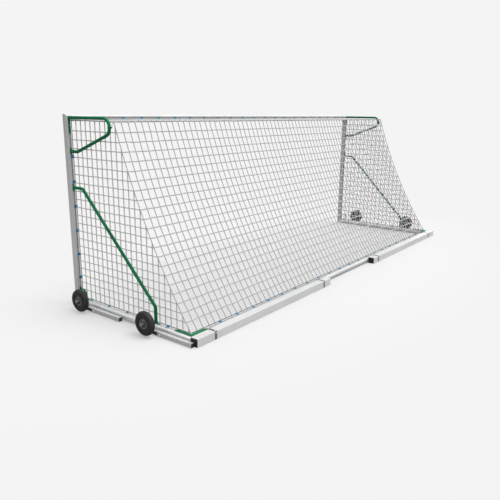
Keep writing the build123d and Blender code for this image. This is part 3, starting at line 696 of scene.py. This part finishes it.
def weave_loops(material):
    """The loops that hold the panels' edges on the border rope and the ridge cord."""
    cords = Strands(around=5)
    for j in range(1, MESHES_ACROSS):
        x = column_x(j)
        loop_round(cords, (x, ROPE_FRONT, ROPE_TOP), (1, 0, 0), ROPE_LAID_R)
        loop_round(cords, (x, ROPE_REAR, ROPE_BOTTOM), (1, 0, 0), ROPE_LAID_R)
        loop_round(cords, (x, RIDGE_Y, RIDGE_Z), (1, 0, 0), RIDGE_R)
    for sign in SIDES.values():
        levels, depths, _ = side_knots(sign * NET_X)
        for level in levels[1:]:
            loop_round(cords, (sign * ROPE_X, ROPE_FRONT, level.z), (0, 0, 1), ROPE_LAID_R)
        for y in depths[1:]:
            loop_round(cords, (sign * ROPE_X, y, ROPE_BOTTOM), (0, 1, 0), ROPE_LAID_R)
    piece = cords.build("net_loops", material)


def weave_net(materials):
    """The four panels. The rear one's rows sag more the further down they are. The rear and roof
    panels take the darker copy of the cord, whose darkness is painted shade.
    """
    cord, painted_shade_cord = materials["net_cord"], materials["painted_shade_cord"]
    more = 1 - TOP_SAG_SHARE
    shares = [TOP_SAG_SHARE + more * i / MESHES_DOWN for i in range(1, MESHES_DOWN)]
    rear_sags = [REAR_SAG * share for share in shares]
    roof_sags = [SIDE_SAG] * (ROOF_MESHES - 1)
    rear = weave_panel("net_rear_cords", rear_grid(), rear_sags, painted_shade_cord)
    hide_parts("net_rear")
    roof = weave_panel("net_roof_cords", roof_grid(), roof_sags, painted_shade_cord)
    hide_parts("net_roof")
    for side, sign in SIDES.items():
        weave_side(side, sign, cord)
    weave_loops(cord)


def corner_arc(before, corner, after, radius, steps=8):
    """Points of the arc that rounds a square corner of the rope."""
    back = (before - corner).normalized()
    on = (after - corner).normalized()
    centre = corner + (back + on) * radius
    points = []
    for i in range(steps + 1):
        turn = math.pi / 2 * i / steps
        points.append(centre - on * (radius * math.cos(turn)) - back * (radius * math.sin(turn)))
    return points


def stepped(points, step):
    """The same open path with points at even steps."""
    line = np.array([tuple(p) for p in points])
    run = np.concatenate([[0], np.cumsum(np.linalg.norm(np.diff(line, axis=0), axis=1))])
    stops = np.linspace(0, run[-1], int(run[-1] / step) + 1)
    return np.stack([np.interp(stops, run, line[:, axis]) for axis in range(3)], 1)


def lay_ropes(materials):
    """Three-strand ropes: the closed border loop and the straight ridge cord."""
    x, front, rear = ROPE_X, ROPE_FRONT, ROPE_REAR
    route = [(x, front, ROPE_TOP), (x, front, ROPE_BOTTOM), (x, rear, ROPE_BOTTOM)]
    route += [(-x, rear, ROPE_BOTTOM), (-x, front, ROPE_BOTTOM), (-x, front, ROPE_TOP)]
    route = [Vector(p) for p in route]
    points = []
    for i, corner in enumerate(route):
        before, after = route[i - 1], route[(i + 1) % len(route)]
        points += corner_arc(before, corner, after, ROPE_BEND_R)
    border = Strands(around=15)
    line = stepped(points + points[:1], ROPE_STEP)[:-1]
    border.add(line, ROPE_LAID_R, closed=True, lobes=STRANDS_LAID, lay=ROPE_LAY)
    piece = border.build("net_border_rope_laid", materials["rope_cord"])
    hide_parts("net_border_rope")
    ridge = Strands(around=12)
    ends = [Vector((x, RIDGE_Y, RIDGE_Z)) for x in (RIDGE_LOW.x, RIDGE_HIGH.x)]
    ridge.add(stepped(ends, ROPE_STEP), RIDGE_R, lobes=STRANDS_LAID, lay=RIDGE_LAY)
    piece = ridge.build("net_ridge_cord_laid", materials["rope_cord"])
    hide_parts("net_ridge_cord")


# ---------------------------------------------------------------- wheels


TYRE_ROUND = 288
TREAD_BLOCKS = 36
TREAD_DEPTH = 0.0035
TYRE_INNER_R = 0.060
TYRE_BEAD_ANGLE = 138  # degrees round the section from the crown to a bead
TYRE_ACROSS = 61
TYRE_SAG = 0.002  # how far the section's middle lies inside half way
WALL_SQUARE, CROWN_SQUARE = 0.80, 0.82  # under 1 is squarer than an ellipse
WALL_SHARE = 0.98  # the wall's half width between its ribs, as a share of the tyre's
WALL_RIBS = ((0.0009, 86, 4), (0.0012, 122, 5))  # height, angle and half width in degrees
TREAD_ANGLE, TREAD_FADE = 62, 8  # degrees
GROOVE_OFF, GROOVE_SWING, GROOVE_HALF = 0.0125, 0.003, 0.0022
SLOT_LEAN, SLOT_HALF, SLOT_OFF = 12, 0.16, 0.012
NOTCH_DEPTH, NOTCH_HALF, NOTCH_OFF = 0.6, 0.07, 0.006


def tyre_section(half_wide, inner, outer):
    """The angles round the tyre's section, and the offset and radius at each, bead to bead."""
    middle = (inner + outer) / 2 - TYRE_SAG
    rise = outer - middle
    angles = np.radians(np.linspace(-TYRE_BEAD_ANGLE, TYRE_BEAD_ANGLE, TYRE_ACROSS))
    sine, cosine = np.sin(angles), np.cos(angles)
    offset = half_wide * np.sign(sine) * np.abs(sine) ** WALL_SQUARE
    radius = middle + rise * np.sign(cosine) * np.abs(cosine) ** CROWN_SQUARE
    ribs = 0
    for high, angle, half in WALL_RIBS:
        ribs = ribs + high * np.exp(-(((np.abs(np.degrees(angles)) - angle) / half) ** 2))
    return angles, offset * (WALL_SHARE + ribs / half_wide), radius


def tread(angles, offset, turn):
    """How deep the tread is cut: two zigzag grooves, slanted side slots and middle notches."""
    beat = turn * TREAD_BLOCKS / (2 * math.pi)
    zigzag = np.abs((beat % 1) - 0.5) * 2 - 0.5
    zone = np.clip((TREAD_ANGLE - np.abs(np.degrees(angles))) / TREAD_FADE, 0, 1)
    off = np.abs(offset)
    groove = np.exp(-(((off - GROOVE_OFF - GROOVE_SWING * zigzag) / GROOVE_HALF) ** 4))
    lean = beat + np.sign(offset) * 0.25 + off * SLOT_LEAN
    slot = np.exp(-((((lean % 1) - 0.5) / SLOT_HALF) ** 4)) * (off > SLOT_OFF)
    notch = np.exp(-(((((beat + 0.5) % 1) - 0.5) / NOTCH_HALF) ** 4)) * (off < NOTCH_OFF)
    return TREAD_DEPTH * zone * np.clip(groove + slot + NOTCH_DEPTH * notch, 0, 1)


def make_tyre(name, materials, body):
    """A treaded tyre in the place of its CAD solid."""
    low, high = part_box(f"{name}_tyre")
    centre, half_wide = (low + high) / 2, (high.x - low.x) / 2
    outer = (high.z - low.z) / 2
    angles, offset, radius = tyre_section(half_wide, TYRE_INNER_R, outer)
    turns = 2 * math.pi * np.arange(TYRE_ROUND) / TYRE_ROUND
    points = []
    for turn in turns:
        r = radius - tread(angles, offset, turn)
        x = centre.x + offset
        y, z = centre.y + r * math.cos(turn), centre.z + r * math.sin(turn)
        points.append(np.stack([x, y, z], 1))
    wide = len(angles)
    i = np.arange(TYRE_ROUND)[:, None]
    j = np.arange(wide - 1)[None, :]
    ahead = (i + 1) % TYRE_ROUND
    corners = [i * wide + j, i * wide + j + 1, ahead * wide + j + 1, ahead * wide + j]
    faces = np.stack(np.broadcast_arrays(*corners), -1).reshape(-1, 4)
    mesh = bpy.data.meshes.new(f"{name}_tyre_tread")
    mesh.from_pydata(np.concatenate(points), [], faces.tolist())
    piece = finish_piece(f"{name}_tyre_tread", mesh, materials["tyre"], body)
    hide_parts(f"{name}_tyre")


class Turned:
    """Collects small shapes turned about an axis, such as bolt heads and caps, into one mesh."""

    def __init__(self):
        self.points, self.faces = [], []

    def add(self, centre, axis, profile, around):
        """Profile points are (height along the axis, radius), from the seat to the tip."""
        axis = Vector(axis).normalized()
        first = axis.orthogonal().normalized()
        second = axis.cross(first)
        start = len(self.points)
        for high, radius in profile:
            for step in range(around):
                turn = 2 * math.pi * (step + 0.5) / around
                off = first * (radius * math.cos(turn)) + second * (radius * math.sin(turn))
                self.points.append(tuple(Vector(centre) + axis * high + off))
        for ring in range(len(profile) - 1):
            low, top = start + ring * around, start + (ring + 1) * around
            for i in range(around):
                j = (i + 1) % around
                self.faces.append((low + i, low + j, top + j, top + i))
        self.faces.append(tuple(range(start + around - 1, start - 1, -1)))
        last = start + (len(profile) - 1) * around
        self.faces.append(tuple(range(last, last + around)))

    def build(self, name, material, slot, body="frame"):
        mesh = bpy.data.meshes.new(name)
        mesh.from_pydata(self.points, [], self.faces)
        piece = finish_piece(name, mesh, material, body)
        mesh.set_sharp_from_angle(angle=math.radians(SHARP_ANGLE))


SHARP_ANGLE = 35  # degrees between two faces from which their edge stays sharp
# Profiles of (height along the axis, radius), from the seat to the tip
WASHER = [(0, 0.0090), (0.0012, 0.0090)]
HEX_HEAD = [(0.0012, 0.0066), (0.0050, 0.0066), (0.0058, 0.0056)]
LENS_HEAD = [(0, 0.0062), (0.0010, 0.0060), (0.0022, 0.0048), (0.0030, 0.0028), (0.0033, 0.0010)]
SEAL_RING = [(0, 0.0235), (0.0012, 0.0235), (0.0018, 0.0220), (0.0018, 0.0195), (0.0006, 0.0190)]
VALVE = [(0, 0.0042), (0.009, 0.0042), (0.011, 0.0030), (0.019, 0.0030), (0.020, 0.0022)]
AXLE_CAP = [(0, 0.0192), (0.0150, 0.0188), (0.0205, 0.0168), (0.0235, 0.0125), (0.0248, 0.0080)]
AXLE_CAP_SEAT = 0.0033  # from the hub's outer end
SEAL_SEAT = 0.0014  # from the hub's end inwards
RIM_BOLTS = 4
RIM_BOLT_R = 0.0375
VALVE_R = 0.043
WEB_HALF = 0.004  # half the thickness of the rim's web


def dress_rim(name, sign, materials, body):
    """Bolts round the hub, a seal on each hub end, the tyre's valve and the axle's cap."""
    low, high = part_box(f"{name}_rim")
    centre = (low + high) / 2
    bolts, black = Turned(), Turned()
    for i in range(RIM_BOLTS):
        turn = 2 * math.pi * (i + 0.5) / RIM_BOLTS
        off = Vector((sign * WEB_HALF, RIM_BOLT_R * math.cos(turn), RIM_BOLT_R * math.sin(turn)))
        bolts.add(centre + off, (sign, 0, 0), WASHER, around=24)
        bolts.add(centre + off, (sign, 0, 0), HEX_HEAD, around=6)
    for x, way in ((high.x, 1), (low.x, -1)):
        black.add((x - SEAL_SEAT * way, centre.y, centre.z), (way, 0, 0), SEAL_RING, around=40)
    black.add(centre + Vector((sign * WEB_HALF, VALVE_R, 0)), (sign, 0, 0), VALVE, around=16)
    hub_end = high.x if sign > 0 else low.x
    cap = Turned()
    cap.add((hub_end + sign * AXLE_CAP_SEAT, centre.y, centre.z), (sign, 0, 0), AXLE_CAP, around=40)
    cap.build(f"{name}_axle_cap", materials["axle_cap"], "zinc_bolts", f"{name}_lever")
    bolts.build(f"{name}_rim_bolts", materials["zinc_bolts"], "zinc_bolts", body)
    black.build(f"{name}_rim_valve", materials["black_plastic"], "black_plastic", body)


def dress_wheels(materials):
    for side, sign in SIDES.items():
        for place in PLACES:
            name = f"{side}_{place}"
            make_tyre(name, materials, f"{name}_wheel")
            dress_rim(name, sign, materials, f"{name}_wheel")


# ---------------------------------------------------------------- ties, screws and weld beads


def tie_corners(materials):
    """A doubled cord from each end of the ridge cord down to the clip on the net bracket."""
    clip_low, clip_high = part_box("bracket_net_clips")
    clip_y, clip_z = clip_high.y - TIE_IN_CLIP, (clip_low.z + clip_high.z) / 2
    for side, sign in SIDES.items():
        cords = Strands(around=8)
        x0, x1 = sign * (RIDGE_HIGH.x - TIE_IN_RIDGE), sign * (POST_X - TIE_IN_POST)
        for shift in (-TIE_SPLIT, TIE_SPLIT):
            points = []
            for step in range(TIE_STEPS + 1):
                share = step / TIE_STEPS
                bulge = TIE_BULGE * math.sin(math.pi * share)
                y = RIDGE_Y + (clip_y - RIDGE_Y) * share + shift + (bulge if shift > 0 else -bulge)
                z = RIDGE_Z + (clip_z + TIE_RISE - RIDGE_Z) * share
                points.append((x0 + (x1 - x0) * share, y, z))
            cords.add(points, TIE_R)
        for share in TIE_WRAPS:
            at = Vector((x0, RIDGE_Y, RIDGE_Z)).lerp(Vector((x1, clip_y, clip_z + TIE_RISE)), share)
            loop_round(cords, at, (0.1, 0.1, -1), TIE_WRAP_R)
        piece = cords.build(f"{side}_corner_tie", materials["net_cord"])


def screw_clamps(materials):
    """Lens-head screws that hold each strap to the box, on its top and its rear face."""
    strap_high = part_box("ballast_clamps")[1]
    half = CLAMP_WIDE / 2
    for side, sign in SIDES.items():
        screws = Turned()
        for x in (strap_high.x - half, CLAMP_INNER_X):
            top = (sign * x, strap_high.y - SCREW_FROM_REAR, strap_high.z)
            rear = (sign * x, strap_high.y, strap_high.z - SCREW_FROM_TOP)
            screws.add(top, (0, 0, 1), LENS_HEAD, around=20)
            screws.add(rear, (0, 1, 0), LENS_HEAD, around=20)
        screws.build(f"{side}_clamp_screws", materials["zinc_bolts"], "zinc_bolts")


def weld_ring(centre, normal, radius, material, name):
    """A rippled fillet bead round a tube where it meets a plate."""
    cords = Strands(around=8)
    across = normal.orthogonal().normalized()
    beside = normal.cross(across)
    ring, sizes = [], []
    for i in range(WELD_STEPS):
        turn = 2 * math.pi * i / WELD_STEPS
        beyond = centre + across * (radius * math.cos(turn))
        ring.append(tuple(beyond + beside * (radius * math.sin(turn))))
        sizes.append(WELD_R + WELD_RIPPLE * math.sin(WELD_RIPPLES * turn))
    cords.add(ring, sizes, closed=True)
    piece = cords.build(name, material)


def weld_brackets(materials):
    """Beads where the green tubes meet the pads on the posts and the feet on the ground bars."""
    bead = materials["weld_bead"]
    for side, sign in SIDES.items():
        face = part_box(f"{side}_net_bracket")[0].y + PLATE_THICK
        for i, z in enumerate(TUBE_HEIGHTS):
            place = Vector((sign * POST_X, face, z))
            weld_ring(place, Vector((0, 1, 0)), TUBE_R, bead, f"{side}_weld_{i + 1}")
        brace_low, brace_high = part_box(f"{side}_lower_brace")
        foot = Vector((sign * POST_X, brace_high.y - BRACE_FOOT, brace_low.z + PLATE_THICK))
        weld_ring(foot, Vector((0, 0, 1)), TUBE_R, bead, f"{side}_weld_{len(TUBE_HEIGHTS) + 1}")


# ---------------------------------------------------------------- build


make_camera()
make_world()
make_key_light()
make_floor()
MATERIALS = make_materials()
dress_nodes(MATERIALS)
weave_net(MATERIALS)
lay_ropes(MATERIALS)
dress_wheels(MATERIALS)
tie_corners(MATERIALS)
screw_clamps(MATERIALS)
weld_brackets(MATERIALS)
bpy.context.scene.view_settings.view_transform = "Standard"
